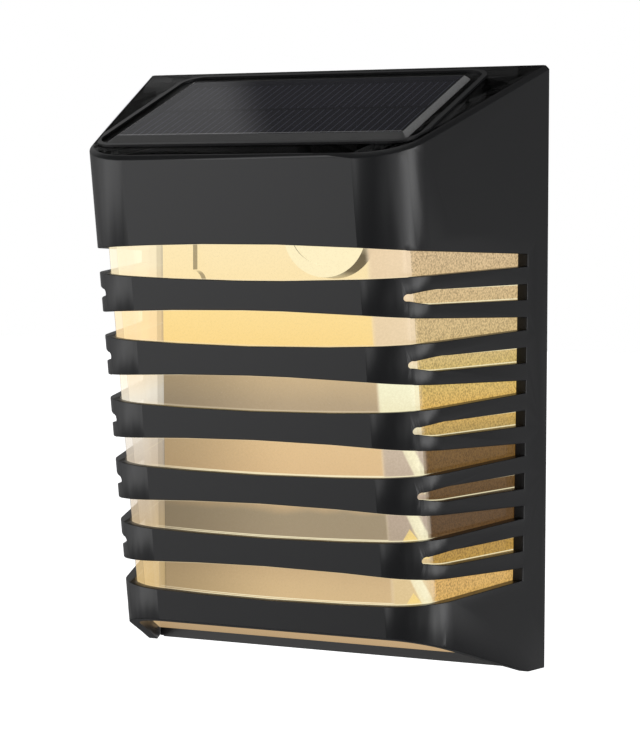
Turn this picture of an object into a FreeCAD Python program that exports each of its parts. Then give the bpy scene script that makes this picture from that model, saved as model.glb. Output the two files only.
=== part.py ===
import FreeCAD, Part
import Sketcher
import math
import os

# A small solar light for a fence or a wall.
#
# The light hangs on a wall with its back flat against it.  X runs across the
# light, +Z is up and -Y points away from the wall, towards the viewer.  The
# origin is the centre of the wall face.  Heights in this file are measured
# from the lower edge of the light and every sub-part is then placed half a
# body height lower, so that the origin lands on the centre of the wall face.

SIZES = (
    # the housing seen from the front and from above
    ("body_width", 96.0),          # across the wall edge
    ("side_slant", 13.0),          # how far each sharp front corner lies inside its wall edge
    ("body_height", 130.0),        # along the wall
    ("depth_low", 36.3),           # wall to front face at the lower edge
    ("depth_high", 59.4),          # wall to front face at the upper edge
    ("corner_radius", 12.5),       # the two upright front corners
    ("wall", 2.2),                 # moulded wall of the housing
    ("top_fall", 0.36),            # fall of the roof for each mm of depth
    ("foot_flat", 5.3),            # level part of the lower edge beside the wall
    ("foot_rise", 0.352),          # rise of the lower edge for each mm of depth
    ("rim_edge", 0.8),             # slanted edge all round the top rim
    ("hood_height", 34.0),         # top of the clear cover to the top of the housing
    # the grille: six gaps and, in the ribs between them, five spindle slots
    ("gap_lowest", 21.52),         # height of the lowest gap's centre line
    ("gap_below", 7.43),           # top of the clear cover to the highest gap's centre line
    ("gap_half", 3.70),            # half height in the middle of the front
    ("gap_half_corner", 2.68),     # half height of the front cut where the corner turns
    ("gap_half_side", 2.58),       # half height of the side cut at the same place
    ("gap_half_end", 1.32),        # half height at the square end by the wall
    ("slot_end", 8.0),             # wall to the square ends of all slots
    ("spindle_half", 1.50),        # half height where the rounded nose ends
    ("spindle_half_end", 1.66),    # half height at the square end
    ("spindle_nose", 9.5),         # length of the rounded nose
    ("spindle_tip", 1.0),          # length of the small round point
    ("spindle_tip_half", 0.72),    # half height of the small round point
    ("spindle_flank", 30.4),       # radius of the flanks of the nose
    ("spindle_setback", 2.9),      # front face to the point of a spindle slot
    # the roof and the solar panel on it
    ("rim", 1.1),                  # width of the rim that the roof lies in
    ("lid_thick", 2.0),
    ("step_back", 3.0),            # down the slope, from the wall edge
    ("step_margin", 6.4),          # depth of the housing to the step's front, down the slope
    ("step_side", 3.2),            # frame to the edge of the raised step, each side
    ("step_rise", 0.5),
    ("step_corner", 6.0),
    ("ridge", 1.1),                # width of the ridge round the groove of the panel
    ("bezel_step", 5.2),           # step's back edge to the frame
    ("bezel_lead", 1.5),           # frame's front edge to the step's
    ("bezel_side", 1.7),           # foot of the frame to the glass, each side
    ("bezel_rim", 0.2),            # flat top of the frame; the rest slants down
    ("bezel_rise", 0.85),          # top of the frame above the roof
    ("bezel_corner", 2.0),
    ("panel_margin", 16.3),        # edge of the wall face to the glass, across
    ("glass_step", 1.3),           # frame's back edge to the glass
    ("glass_lead", 3.6),           # glass to the front edge of the frame's wide lip
    ("panel_sink", 1.3),           # seat of the panel below the roof's surface
    ("adhesive_thick", 0.2),
    ("backing_thick", 0.8),
    ("cell_thick", 0.3),
    ("glass_thick", 0.8),
    ("cell_border", 1.4),
    ("cell_row_gap", 1.3),
    ("cell_gap", 0.5),
    ("lead_hole", 1.8),            # radius of the hole for the panel's leads
    # the clear cover behind the grille
    ("cover_gap", 0.15),           # cover to housing wall
    ("cover_thick", 1.6),
    ("cover_drop", 3.1),           # cover's floor above the lower edge
    # plates at the wall
    ("plate_thick", 2.0),
    ("plate_gap", 0.2),            # back plate to housing
    ("gasket_thick", 1.0),
    ("gasket_width", 1.9),
    ("liner_thick", 1.0),
    ("liner_gap", 0.25),
    ("foot_lip", 2.6),             # height of the back plate's strip under the cover
    # keyhole pocket
    ("key_below", 1.8),            # top of the clear cover to the centre of the round opening
    ("key_radius", 4.25),
    ("key_slot", 4.5),             # width of the hanging slot
    ("key_travel", 9.0),           # round opening to the top of the slot
    ("pocket_half", 7.4),          # half width of the pocket's box
    ("pocket_wall", 1.2),
    ("pocket_depth", 8.6),         # wall face to the front of the pocket's box
    ("cup_wall", 1.0),
    ("dish_half", 8.4),            # half width of the shallow dish in the cup's front
    ("dish_raise", 1.3),           # its round foot above the keyhole's centre
    ("cup_draft", 0.5),            # the cup is this much wider at its foot
    # screws
    ("case_screw_margin", 7.6),    # edge of the wall face to the screws
    ("case_screw_rise", 8.0),      # top of the clear cover to the lower screws
    ("case_screw_drop", 13.5),     # top of the housing to the upper screws
    ("boss_radius", 2.9),
    ("boss_length", 11.0),
    ("pilot_radius", 1.05),
    ("shank_radius", 1.0),
    ("screw_clear", 1.25),
    ("head_radius", 2.2),
    ("head_thick", 1.2),
    ("head_sink", 0.25),           # wall face to the faces of the heads
    ("screw_length", 9.0),
    ("liner_screw_margin", 13.5),  # edge of the wall face to the screws
    ("liner_screw_below", 11.4),   # keyhole's centre to the screws
    ("liner_boss_rise", 3.2),
    ("liner_rib", 1.3),
    ("liner_screw_length", 3.7),
    # tray, lamps and boards
    ("tray_thick", 2.0),
    ("ledge_width", 2.2),
    ("ledge_thick", 1.2),
    ("ledge_reach", 25.4),         # wall to the front ends of the ledges
    ("seal_width", 2.0),           # rim inside the hood for the seal
    ("board_thick", 1.6),
    ("led_board_margin", 9.0),     # sharp front corner to the lamp board, across
    ("led_board_back", 14.0),
    ("led_board_lead", 19.4),      # lamp board to the front of the housing
    ("led_size", 3.5),
    ("led_thick", 1.0),
    ("led_pitch", 14.0),
    ("lens_radius", 1.4),
    ("board_margin", 11.5),        # edge of the wall face to the control board
    ("board_width", 21.5),
    ("board_rise", 4.0),           # top of the clear cover to the board's lower edge
    ("board_drop", 9.0),           # top of the housing to the board's upper edge
    ("board_back", 8.3),           # wall face to the back of the control board
    ("chip_half", 2.4),            # half width of the largest chip
    ("chip_thick", 1.5),
    ("small_screw", 0.9),          # radius of the pilot holes of the board screws
    ("small_head", 1.7),
    ("small_length", 6.5),
    ("thread_play", 0.05),         # shank to pilot hole
    ("screw_play", 0.1),           # shank to the hole in a board
    ("screw_margin", 3.0),         # screw to the edges of its board
    ("led_pilot", 3.0),            # depth of the pilot holes in the tray
    # the push button
    ("button_margin", 8.5),        # button to the control board's outer edge
    ("button_rise", 10.0),         # control board's lower edge to the button
    ("button_radius", 3.3),
    ("button_gap", 0.3),
    ("button_recess", 0.8),        # wall face to the button's face
    ("button_collar", 0.9),
    ("button_seal_thick", 1.8),
    ("button_travel", 0.5),
    ("switch_side", 6.0),
    ("switch_depth", 3.4),
    ("plunger_radius", 1.6),
    # the rechargeable cell
    ("cell_radius", 7.1),
    ("cell_length", 49.0),
    ("cell_overlap", 3.5),         # the cell ends this far past the control board's inner edge
    ("cell_lead", 29.4),           # cell's axis to the front of the housing
    ("cradle_thick", 1.4),
    ("cradle_half", 8.0),          # half length of the cradle's ribs, wall to front
    ("cradle_rise", 4.0),
    ("end_wall_rise", 13.0),
    ("end_wall_half", 4.0),
    ("pad_half", 12.0),
    ("pad_width", 6.0),
    ("contact_thick", 0.4),
    ("contact_half", 6.0),
    ("contact_tab", 7.8),          # cell's axis to the end of the solder tab, towards the wall
    ("spring_length", 3.6),
    ("spring_half", 4.0),          # half height and half width of the leaf spring
    # wires
    ("wire_radius", 0.5),
    ("wire_bend", 3.0),
    ("wire_apart", 2.5),           # two wires of a pair
    ("led_lead_margin", 6.0),      # control board's inner edge to the lamp wires
    ("led_lead_depth", 18.0),
    ("panel_lead_run", 6.5),       # upper edge of the glass to the lead hole
)

# Chips on the control board: place across and up the board, and size, each as a share.
CHIPS = ((0.65, 0.76, 1.0), (0.43, 0.81, 0.4), (0.77, 0.46, 0.7), (0.52, 0.33, 0.4))
# The cross in a screw's head: half width and half length as shares of the head's radius.
CROSS_HALF, CROSS_REACH = 0.25, 0.6


class Size:
    """A length with its number and the same length as an expression."""

    def __init__(self, value, text):
        self.value = value
        self.text = text

    def join(self, other, sign, swap=False):
        other = as_size(other)
        a, b = (other, self) if swap else (self, other)
        value = {
            "+": lambda: a.value + b.value,
            "-": lambda: a.value - b.value,
            "*": lambda: a.value * b.value,
            "/": lambda: a.value / b.value,
        }[sign]()
        return Size(value, "(%s %s %s)" % (a.text, sign, b.text))

    def __add__(self, other):
        return self.join(other, "+")

    def __radd__(self, other):
        return self.join(other, "+", True)

    def __sub__(self, other):
        return self.join(other, "-")

    def __rsub__(self, other):
        return self.join(other, "-", True)

    def __mul__(self, other):
        return self.join(other, "*")

    def __rmul__(self, other):
        return self.join(other, "*", True)

    def __truediv__(self, other):
        return self.join(other, "/")

    def __rtruediv__(self, other):
        return self.join(other, "/", True)

    def __neg__(self):
        return Size(-self.value, "(0 - %s)" % self.text)


def as_size(number):
    if isinstance(number, Size):
        return number
    return Size(float(number), "%.10g" % number if number >= 0 else "(0 - %.10g)" % -number)


def root(size):
    return Size(math.sqrt(size.value), "sqrt(%s)" % size.text)


def angle_of(slope):
    """Angle in degrees whose tangent is the slope."""
    return Size(math.degrees(math.atan(slope.value)), "atan(%s)" % slope.text)


def sine(angle):
    return Size(math.sin(math.radians(angle.value)), "sin(%s)" % angle.text)


def cosine(angle):
    return Size(math.cos(math.radians(angle.value)), "cos(%s)" % angle.text)


class Sheet:
    """The spreadsheet of driving dimensions; S.wall is the size named wall."""

    def __init__(self, document, rows):
        sheet = document.addObject("Spreadsheet::Sheet", "Sizes")
        for number, (name, value) in enumerate(rows, start=1):
            cell = "B%d" % number
            sheet.set("A%d" % number, name)
            sheet.set(cell, str(value))
            sheet.setAlias(cell, name)
            setattr(self, name, Size(value, "Sizes." + name))


doc = FreeCAD.newDocument("SolarFenceLight")
S = Sheet(doc, SIZES)
doc.recompute()

# Sizes that follow from the driving ones.
GAPS = 6
S.front_width = S.body_width - 2 * S.side_slant
S.cover_top = S.body_height - S.hood_height
S.gap_pitch = (S.cover_top - S.gap_below - S.gap_lowest) / (GAPS - 1)
S.key_height = S.cover_top - S.key_below
S.case_screw_side = S.body_width / 2 - S.case_screw_margin
S.case_screw_low = S.cover_top + S.case_screw_rise
S.case_screw_high = S.body_height - S.case_screw_drop
S.liner_screw_side = S.body_width / 2 - S.liner_screw_margin
S.liner_screw_height = S.key_height - S.liner_screw_below
S.glass_half = S.body_width / 2 - S.panel_margin
S.bezel_half = S.glass_half + S.bezel_side
S.step_half = S.bezel_half + S.step_side
S.step_front = S.depth_high - S.step_margin
S.bezel_back = S.step_back + S.bezel_step
S.bezel_front = S.step_front - S.bezel_lead
S.glass_back = S.bezel_back + S.glass_step
S.glass_front = S.bezel_front - S.glass_lead
S.led_board_half = S.front_width / 2 - S.led_board_margin
S.led_board_front = S.depth_high - S.led_board_lead
S.board_right = S.body_width / 2 - S.board_margin
S.board_left = S.board_right - S.board_width
S.board_low = S.cover_top + S.board_rise
S.board_high = S.body_height - S.board_drop
S.button_side = S.board_right - S.button_margin
S.button_height = S.board_low + S.button_rise
S.led_lead_side = S.board_left + S.led_lead_margin
S.cell_middle = S.board_left + S.cell_overlap - S.cell_length / 2
S.cell_depth = S.depth_high - S.cell_lead

X_AXIS = FreeCAD.Vector(1, 0, 0)
Y_AXIS = FreeCAD.Vector(0, 1, 0)
Z_AXIS = FreeCAD.Vector(0, 0, 1)
sub_parts = []


# ---------------------------------------------------------------- helpers

def bind(thing, path, size):
    """Tie one property of an object to an expression on the sheet."""
    thing.setExpression(path, as_size(size).text)


def finished(thing, label):
    """Name an object as a sub-part of the light."""
    thing.Label = label
    sub_parts.append(thing)
    return thing


def place_upright(thing):
    """Lower a sub-part so that the origin is the middle of the wall face."""
    bind(thing, "Placement.Base.z", -S.body_height / 2)


def place_on_roof(thing):
    """Sub-parts of the roof are drawn flat: -Y is down the slope, Z is up from it."""
    thing.Placement = FreeCAD.Placement(FreeCAD.Vector(), FreeCAD.Rotation(X_AXIS, 10))
    bind(thing, "Placement.Base.z", S.body_height / 2)
    thing.setExpression("Placement.Rotation.Angle", "atan(%s)" % S.top_fall.text)


def new_body(label, place=place_upright):
    body = doc.addObject("PartDesign::Body", label + "_body")
    if place:
        place(body)
    return body


def sketch_in(body, role, lift=0):
    """A sketch on one of the body's own origin planes, lifted along its normal."""
    sketch = body.newObject("Sketcher::SketchObject", "sketch")
    plane = [feature for feature in body.Origin.OriginFeatures if feature.Role == role][0]
    sketch.AttachmentSupport = [(plane, "")]
    sketch.MapMode = "FlatFace"
    bind(sketch, "AttachmentOffset.Base.z", lift)
    return sketch


def from_above(body, height=0):
    return sketch_in(body, "XY_Plane", height)


def from_front(body, depth=0):
    """Sketch in X and Z at a distance from the wall; a pad grows away from the wall."""
    return sketch_in(body, "XZ_Plane", depth)


def from_side(body, across=0):
    """Sketch in Y and Z."""
    return sketch_in(body, "YZ_Plane", across)


def arc_between(start, end, radius):
    """Arc from start to end; a positive radius bulges to the right of the way."""
    (x0, y0), (x1, y1) = start, end
    chord = math.hypot(x1 - x0, y1 - y0)
    rise = math.sqrt(max(radius * radius - chord * chord / 4, 0.0))
    side = 1 if radius > 0 else -1
    centre_x = (x0 + x1) / 2 - side * (y1 - y0) / chord * rise
    centre_y = (y0 + y1) / 2 + side * (x1 - x0) / chord * rise
    first, last = (start, end) if side > 0 else (end, start)
    angle_0 = math.atan2(first[1] - centre_y, first[0] - centre_x)
    angle_1 = math.atan2(last[1] - centre_y, last[0] - centre_x)
    circle = Part.Circle(FreeCAD.Vector(centre_x, centre_y, 0), Z_AXIS, abs(radius))
    return Part.ArcOfCircle(circle, angle_0, angle_1 if angle_1 > angle_0 else angle_1 + 2 * math.pi)


def draw(sketch, corners):
    """Closed outline.  A corner is (x, y) or (x, y, r): r is the arc to the next corner."""
    first = sketch.GeometryCount
    count = len(corners)
    points = [(as_size(corner[0]), as_size(corner[1])) for corner in corners]
    ends = []
    for index, corner in enumerate(corners):
        start = tuple(p.value for p in points[index])
        end = tuple(p.value for p in points[(index + 1) % count])
        if len(corner) == 2:
            line = Part.LineSegment(FreeCAD.Vector(*start, 0), FreeCAD.Vector(*end, 0))
            sketch.addGeometry(line, False)
            ends.append((1, 2))
        else:
            radius = as_size(corner[2])
            sketch.addGeometry(arc_between(start, end, radius.value), False)
            ends.append((1, 2) if radius.value > 0 else (2, 1))
    for index, corner in enumerate(corners):
        edge = first + index
        before = first + (index - 1) % count
        sketch.addConstraint(
            Sketcher.Constraint("Coincident", before, ends[index - 1][1], edge, ends[index][0]))
        for kind, size in zip(("DistanceX", "DistanceY"), points[index]):
            fixed = Sketcher.Constraint(kind, -1, 1, edge, ends[index][0], size.value)
            number = sketch.addConstraint(fixed)
            bind(sketch, "Constraints[%d]" % number, size)
        if len(corner) == 3:
            radius = as_size(corner[2])
            number = sketch.addConstraint(Sketcher.Constraint("Radius", edge, abs(radius.value)))
            bind(sketch, "Constraints[%d]" % number, radius if radius.value > 0 else -radius)
    return sketch


def draw_circle(sketch, x, y, radius):
    x, y, radius = as_size(x), as_size(y), as_size(radius)
    circle = Part.Circle(FreeCAD.Vector(x.value, y.value, 0), Z_AXIS, radius.value)
    edge = sketch.addGeometry(circle, False)
    for kind, size in (("DistanceX", x), ("DistanceY", y)):
        number = sketch.addConstraint(Sketcher.Constraint(kind, -1, 1, edge, 3, size.value))
        bind(sketch, "Constraints[%d]" % number, size)
    number = sketch.addConstraint(Sketcher.Constraint("Radius", edge, radius.value))
    bind(sketch, "Constraints[%d]" % number, radius)
    return sketch


def draw_hexagon(sketch, x, y, radius):
    """Plain section for wires, screw shanks and the pilot holes that hide them."""
    half, high = radius / 2, radius * math.sqrt(0.75)
    return draw(sketch, [(x + radius, y), (x + half, y + high), (x - half, y + high),
                         (x - radius, y), (x - half, y - high), (x + half, y - high)])


def rectangle(x0, x1, y0, y1):
    return [(x0, y0), (x1, y0), (x1, y1), (x0, y1)]


def rounded(x0, x1, y0, y1, r):
    """Rectangle with round corners."""
    return [
        (x0 + r, y0), (x1 - r, y0, r), (x1, y0 + r), (x1, y1 - r, r),
        (x1 - r, y1), (x0 + r, y1, r), (x0, y1 - r), (x0, y0 + r, r),
    ]


def pad(body, sketch, length, toward_wall=False):
    """Add a sketch's prism to the body and make sure that something was added."""
    before = 0 if body.Shape.isNull() else body.Shape.Volume
    feature = body.newObject("PartDesign::Pad", "pad")
    feature.Profile = sketch
    feature.Reversed = toward_wall
    bind(feature, "Length", length)
    doc.recompute()
    if body.Shape.Volume < before + 1e-6:
        raise RuntimeError("a pad in %s adds nothing" % body.Name)
    return feature


def pocket(body, sketch, length=None, reverse=False):
    """Cut a sketch out of the body and make sure that something was cut."""
    before = body.Shape.Volume
    feature = body.newObject("PartDesign::Pocket", "pocket")
    feature.Profile = sketch
    feature.Reversed = reverse
    if length is None:
        feature.Type = 1
        feature.Midplane = True
    else:
        bind(feature, "Length", length)
    doc.recompute()
    if body.Shape.Volume > before - 1e-6:
        raise RuntimeError("a pocket in %s cuts nothing" % body.Name)
    return feature


def slant_edges(solid, chosen, width):
    """Give a slanted edge to those edges of a solid for which chosen(edge) is true."""
    body = doc.addObject("PartDesign::Body", solid.Name + "_slanted")
    body.BaseFeature = solid
    doc.recompute()
    start = body.Tip
    names = ["Edge%d" % (number + 1) for number, edge in enumerate(start.Shape.Edges)
             if chosen(edge)]
    feature = body.newObject("PartDesign::Chamfer", "slant")
    feature.Base = (start, names)
    bind(feature, "Size", width)
    doc.recompute()
    return body


def cut(base, tools, label):
    """Boolean cut of a document object by one or more others."""
    if len(tools) > 1:
        tool = doc.addObject("Part::MultiFuse", label + "_tools")
        tool.Shapes = tools
    else:
        tool = tools[0]
    result = doc.addObject("Part::Cut", label)
    result.Base = base
    result.Tool = tool
    return result


def common(first, second, label):
    result = doc.addObject("Part::Common", label)
    result.Base = first
    result.Tool = second
    return result


def fuse(shapes, label):
    result = doc.addObject("Part::MultiFuse", label)
    result.Shapes = shapes
    return result


# ------------------------------------------------- the form of the housing

def depth_at(height):
    """Wall to front face at a height."""
    return S.depth_low + (S.depth_high - S.depth_low) * height / S.body_height


def plan_outline(depth, inset, back):
    """Plan of the housing, moved inwards by inset: a trapezoid with two round corners.

    Each round corner is four arcs in a row, which keeps its surfaces simple.
    """
    arcs = 4
    taper = (S.body_width - S.front_width) / 2 / depth
    stretch = root(1 + taper * taper)
    radius = S.corner_radius - inset
    side_at_wall = S.body_width / 2 - stretch * inset
    corner = side_at_wall - taper * (depth - inset)
    centre_x = corner - radius * (stretch - taper)
    centre_y = inset + radius - depth
    bend = angle_of(1 / taper)
    right = []
    for number in range(arcs + 1):
        turn = bend * number / arcs
        right.append((centre_x + radius * sine(turn), centre_y - radius * cosine(turn), radius))
    left = [(-x, y, r) for x, y, r in reversed(right)]
    left[-1] = left[-1][:2]
    right[-1] = right[-1][:2]
    back_x = side_at_wall + taper * back
    return [(-back_x, back)] + left + right + [(back_x, back)]


def tapered_form(name, inset):
    """The housing's tapered form, full height and past the wall, with its walls moved inwards."""
    body = new_body(name)
    low = draw(from_above(body), plan_outline(S.depth_low, inset, S.wall))
    high = draw(from_above(body, S.body_height), plan_outline(S.depth_high, inset, S.wall))
    loft = body.newObject("PartDesign::AdditiveLoft", "loft")
    loft.Profile = low
    loft.Sections = [high]
    loft.Ruled = True
    doc.recompute()
    return body


def side_slab(name, corners):
    """A prism across the whole light with the given outline in Y and Z."""
    body = new_body(name)
    sketch = draw(from_side(body), corners)
    feature = body.newObject("PartDesign::Pad", "pad")
    feature.Profile = sketch
    feature.Midplane = True
    bind(feature, "Length", ACROSS)
    doc.recompute()
    return body


def roof_at(y, below=0):
    """Height of the roof at y, or of a surface a given height below it."""
    return S.body_height + S.top_fall * y - below


def foot_at(y, above=0):
    """Height of the slanted lower edge at y (a negative number)."""
    return above - S.foot_rise * (y + S.foot_flat)


FAR = -S.depth_high * 1.25          # in front of everything
ACROSS = S.body_width * 1.5         # wider than everything


def make_front_shell():
    """Housing: one moulding with the hood, six gaps, five forked ribs and the foot."""
    outline = [
        (0, 0), (-S.foot_flat, 0), (FAR, foot_at(FAR)), (FAR, roof_at(FAR)), (0, roof_at(0)),
    ]
    outer = common(tapered_form("shell_form", as_size(0)), side_slab("shell_side", outline),
                   "shell_outer")
    doc.recompute()
    outer = slant_edges(outer, on_roof_rim, S.rim_edge)
    inner = tapered_form("shell_hollow", S.wall)
    rebate_form = tapered_form("rebate_form", S.rim)
    rebate_slab = side_slab("rebate_side", [
        (S.wall, roof_at(S.wall, S.lid_thick)), (FAR, roof_at(FAR, S.lid_thick)),
        (FAR, roof_at(FAR) + S.wall), (S.wall, roof_at(S.wall) + S.wall),
    ])
    rebate = common(rebate_form, rebate_slab, "rebate")
    tools = [inner, rebate]
    for level in range(GAPS):
        tools += gap_tools(level)
    for level in range(GAPS - 1):
        tools.append(spindle_tool(level))
    shell = cut(outer, tools, "front_shell_walls")
    inside = common(tapered_form("post_form", S.wall / 2), fuse(shell_posts(), "posts"), "shell_posts")
    return finished(fuse([shell, inside], "front_shell_all"), "front_shell")


def on_roof_rim(edge):
    """True for the edges all round the top, except the one at the wall."""
    middle = edge.valueAt((edge.FirstParameter + edge.LastParameter) / 2)
    height = roof_at(as_size(middle.y)).value - S.body_height.value / 2
    return abs(middle.z - height) < 0.01 and middle.y < -1


def gap_height(level):
    """Height of a gap's centre line; level 0 is the lowest."""
    return S.gap_lowest + S.gap_pitch * level


def corner_depth(height):
    """Wall to the middle of a round front corner."""
    return depth_at(height) - S.corner_radius * (1 - math.sqrt(0.5))


def gap_tools(level):
    """One gap: a lens-shaped cut through the front and a tapered cut through both sides.

    Each cut runs on past the corner inside the other one, so the two meet there
    in one clean edge.
    """
    middle = gap_height(level)
    reach = S.front_width / 2 - S.rim
    corner_half = S.gap_half_corner
    bow = S.gap_half - corner_half
    edge_radius = (reach * reach + bow * bow) / (2 * bow)
    past = reach + S.corner_radius / 2
    point = corner_half / 2
    front = new_body("gap_front_%d" % level)
    sketch = draw(from_front(front, S.slot_end), [
        (-past, middle - point), (-reach, middle - corner_half, edge_radius),
        (reach, middle - corner_half), (past, middle - point), (past, middle + point),
        (reach, middle + corner_half, edge_radius), (-reach, middle + corner_half),
        (-past, middle + point),
    ])
    pad(front, sketch, S.depth_high)
    side = new_body("gap_side_%d" % level)
    corner = corner_depth(middle)
    spread = (S.gap_half_side - S.gap_half_end) / (corner - S.slot_end)
    far_half = S.gap_half_side + spread * S.corner_radius
    far = -corner - S.corner_radius
    sketch = draw(from_side(side), [
        (far, middle - far_half), (-S.slot_end, middle - S.gap_half_end),
        (-S.slot_end, middle + S.gap_half_end), (far, middle + far_half),
    ])
    feature = pad(side, sketch, ACROSS)
    feature.Midplane = True
    return [front, side]


def spindle_tool(level):
    """One pair of spindle slots, which split a rib into two branches on each side."""
    middle = gap_height(level) + S.gap_pitch / 2
    tip = -depth_at(middle) + S.spindle_setback
    nose = tip + S.spindle_nose
    point = tip + S.spindle_tip
    half, end_half, tip_half = S.spindle_half, S.spindle_half_end, S.spindle_tip_half
    flank = S.spindle_flank
    point_radius = (tip_half * tip_half + S.spindle_tip * S.spindle_tip) / (2 * S.spindle_tip)
    body = new_body("spindle_%d" % level)
    sketch = draw(from_side(body), [
        (tip, middle, point_radius),
        (point, middle - tip_half, flank),
        (nose, middle - half),
        (-S.slot_end, middle - end_half),
        (-S.slot_end, middle + end_half),
        (nose, middle + half, flank),
        (point, middle + tip_half, point_radius),
    ])
    feature = pad(body, sketch, ACROSS)
    feature.Midplane = True
    return body


def shell_posts():
    """Inside the hood: four screw bosses and, on each side, a ledge over the tray."""
    posts = []
    start = S.plate_thick
    for side in (-1, 1):
        for height in (S.case_screw_low, S.case_screw_high):
            body = new_body("boss")
            x = side * S.case_screw_side
            pad(body, draw_circle(from_front(body, start), x, height, S.boss_radius), S.boss_length)
            outward = draw(from_front(body, start + S.gasket_thick), rectangle(
                x, x + side * S.boss_radius * 2, height - S.pilot_radius, height + S.pilot_radius))
            pad(body, outward, S.boss_length - S.gasket_thick)
            pilot = draw_hexagon(from_front(body, start), x, height, S.pilot_radius)
            pocket(body, pilot, S.screw_length, reverse=True)
            posts.append(body)
        posts.append(ledge(side))
    return posts + seal_frame()


def ledge(side):
    """Ledge that keeps the tray down on the clear cover."""
    body = new_body("ledge")
    inner = S.body_width / 2 - S.wall * 2 - S.ledge_width
    front = -S.ledge_reach
    outline = [
        (side * inner, -S.slot_end),
        (side * S.body_width / 2, -S.slot_end),
        (side * S.body_width / 2, front),
        (side * (inner - S.ledge_width * 2), front),
    ]
    low = S.cover_top + S.tray_thick + S.cover_gap
    pad(body, draw(from_above(body, low), outline), S.ledge_thick)
    return body


def seal_frame():
    """Rim inside the hood that the seal of the back plate presses against."""
    body = new_body("seal_frame")
    half = S.body_width / 2
    inner = half - S.wall * 2 - S.plate_gap
    low = S.cover_top + S.tray_thick + S.cover_gap
    top = roof_at(-S.plate_thick * 3, S.lid_thick)
    start = S.plate_thick + S.gasket_thick
    sketch = draw(from_front(body, start), [
        (-half, low), (-inner, low), (-inner, top - S.seal_width), (inner, top - S.seal_width),
        (inner, low), (half, low), (half, top), (-half, top)])
    pad(body, sketch, S.seal_width)
    return [body]


# ------------------------------------------------------- the roof and panel

def make_top_cover():
    """Roof: lies in the rim of the housing and carries the raised step for the panel."""
    gap = S.rim + S.cover_gap
    slab = side_slab("roof_side", [
        (0, roof_at(0, S.lid_thick)), (FAR, roof_at(FAR, S.lid_thick)), (FAR, roof_at(FAR)),
        (0, roof_at(0)),
    ])
    plate = common(tapered_form("roof_form", gap), slab, "roof_plate")
    step = new_body("roof_step", place_on_roof)
    pad(step, draw(from_above(step), rounded(
        -S.step_half, S.step_half, -S.step_front, -S.step_back, S.step_corner)), S.step_rise)
    groove = from_above(step, S.step_rise)
    draw(groove, rounded(S.ridge - S.step_half, S.step_half - S.ridge, S.ridge - S.step_front,
                         -S.step_back - S.ridge, S.step_corner - S.ridge))
    pocket(step, groove, S.step_rise)
    around = S.glass_half + S.wall
    pad(step, draw(from_above(step), rectangle(
        -around, around, -S.glass_front - S.wall, -S.glass_back + S.wall)), S.lid_thick,
        toward_wall=True)
    step = common(tapered_form("step_form", gap + S.step_rise), step, "step_trimmed")
    seat = new_body("panel_seat", place_on_roof)
    clear = S.cover_gap
    pad(seat, draw(from_above(seat, -S.panel_sink), rectangle(
        -S.glass_half - clear, S.glass_half + clear, -S.glass_front - clear, -S.glass_back + clear)),
        S.panel_sink + S.step_rise * 2)
    hole = new_body("lead_hole", place_on_roof)
    drill = draw_circle(from_above(hole, -S.lid_thick * 2), lead_x(), -lead_down(), S.lead_hole)
    pad(hole, drill, S.lid_thick * 3)
    solid = fuse([plate, step], "roof_solid")
    return finished(cut(solid, [seat, hole], "roof"), "top_cover")


def lead_x():
    """Where the panel's leads pass the roof, across the light."""
    return S.board_left + S.lead_hole * 3


def lead_down():
    """The same, down the slope of the roof."""
    return S.glass_back + S.panel_lead_run


def frame_outline(half, back, front, corner=None):
    """Rectangle on the roof, from back to front down the slope, with round corners if given."""
    if corner is None:
        return rectangle(-half, half, -front, -back)
    return rounded(-half, half, -front, -back, corner)


def make_panel():
    """Solar panel: frame, cover glass, cells in two rows, backing board, adhesive."""
    floor = -S.panel_sink
    clear = S.cover_gap
    frame = new_body("bezel", place_on_roof)
    low = draw(from_above(frame), frame_outline(
        S.bezel_half, S.bezel_back, S.bezel_front, S.bezel_corner))
    rim = clear + S.bezel_rim
    top = draw(from_above(frame, S.bezel_rise), frame_outline(
        S.glass_half + rim, S.glass_back - rim, S.glass_front + rim, rim))
    loft = frame.newObject("PartDesign::AdditiveLoft", "loft")
    loft.Profile = low
    loft.Sections = [top]
    loft.Ruled = True
    doc.recompute()
    window = draw(from_above(frame), frame_outline(
        S.glass_half + clear, S.glass_back - clear, S.glass_front + clear))
    pocket(frame, window, S.bezel_rise * 2, reverse=True)
    finished(frame, "panel_bezel")
    height = floor
    layers = (("panel_adhesive", S.adhesive_thick), ("panel_backing", S.backing_thick))
    for name, thick in layers:
        layer = new_body(name, place_on_roof)
        pad(layer, draw(from_above(layer, height), frame_outline(
            S.glass_half, S.glass_back, S.glass_front)), thick)
        if name == "panel_adhesive":
            hole = draw_circle(from_above(layer, height), lead_x(), -lead_down(), S.lead_hole)
            pocket(layer, hole, thick, reverse=True)
        finished(layer, name)
        height = height + thick
    finished(make_cells(height), "solar_cells")
    height = height + S.cell_thick
    glass = new_body("glass", place_on_roof)
    pad(glass, draw(from_above(glass, height), frame_outline(
        S.glass_half, S.glass_back, S.glass_front)), S.glass_thick)
    finished(glass, "panel_glass")


def make_cells(height):
    """Twelve cells in two rows of six."""
    columns, rows = 6, 2
    inside = 2 * (S.glass_half - S.cell_border)
    width = (inside - (columns - 1) * S.cell_gap) / columns
    length = (S.glass_front - S.glass_back - 2 * S.cell_border - S.cell_row_gap) / rows
    cells = []
    for row in range(rows):
        for column in range(columns):
            left = -inside / 2 + column * (width + S.cell_gap)
            front = -S.glass_front + S.cell_border + row * (length + S.cell_row_gap)
            body = new_body("cell", place_on_roof)
            pad(body, draw(from_above(body, height), rectangle(
                left, left + width, front, front + length)), S.cell_thick)
            cells.append(body)
    group = doc.addObject("Part::Compound", "cells")
    group.Links = cells
    return group


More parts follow.
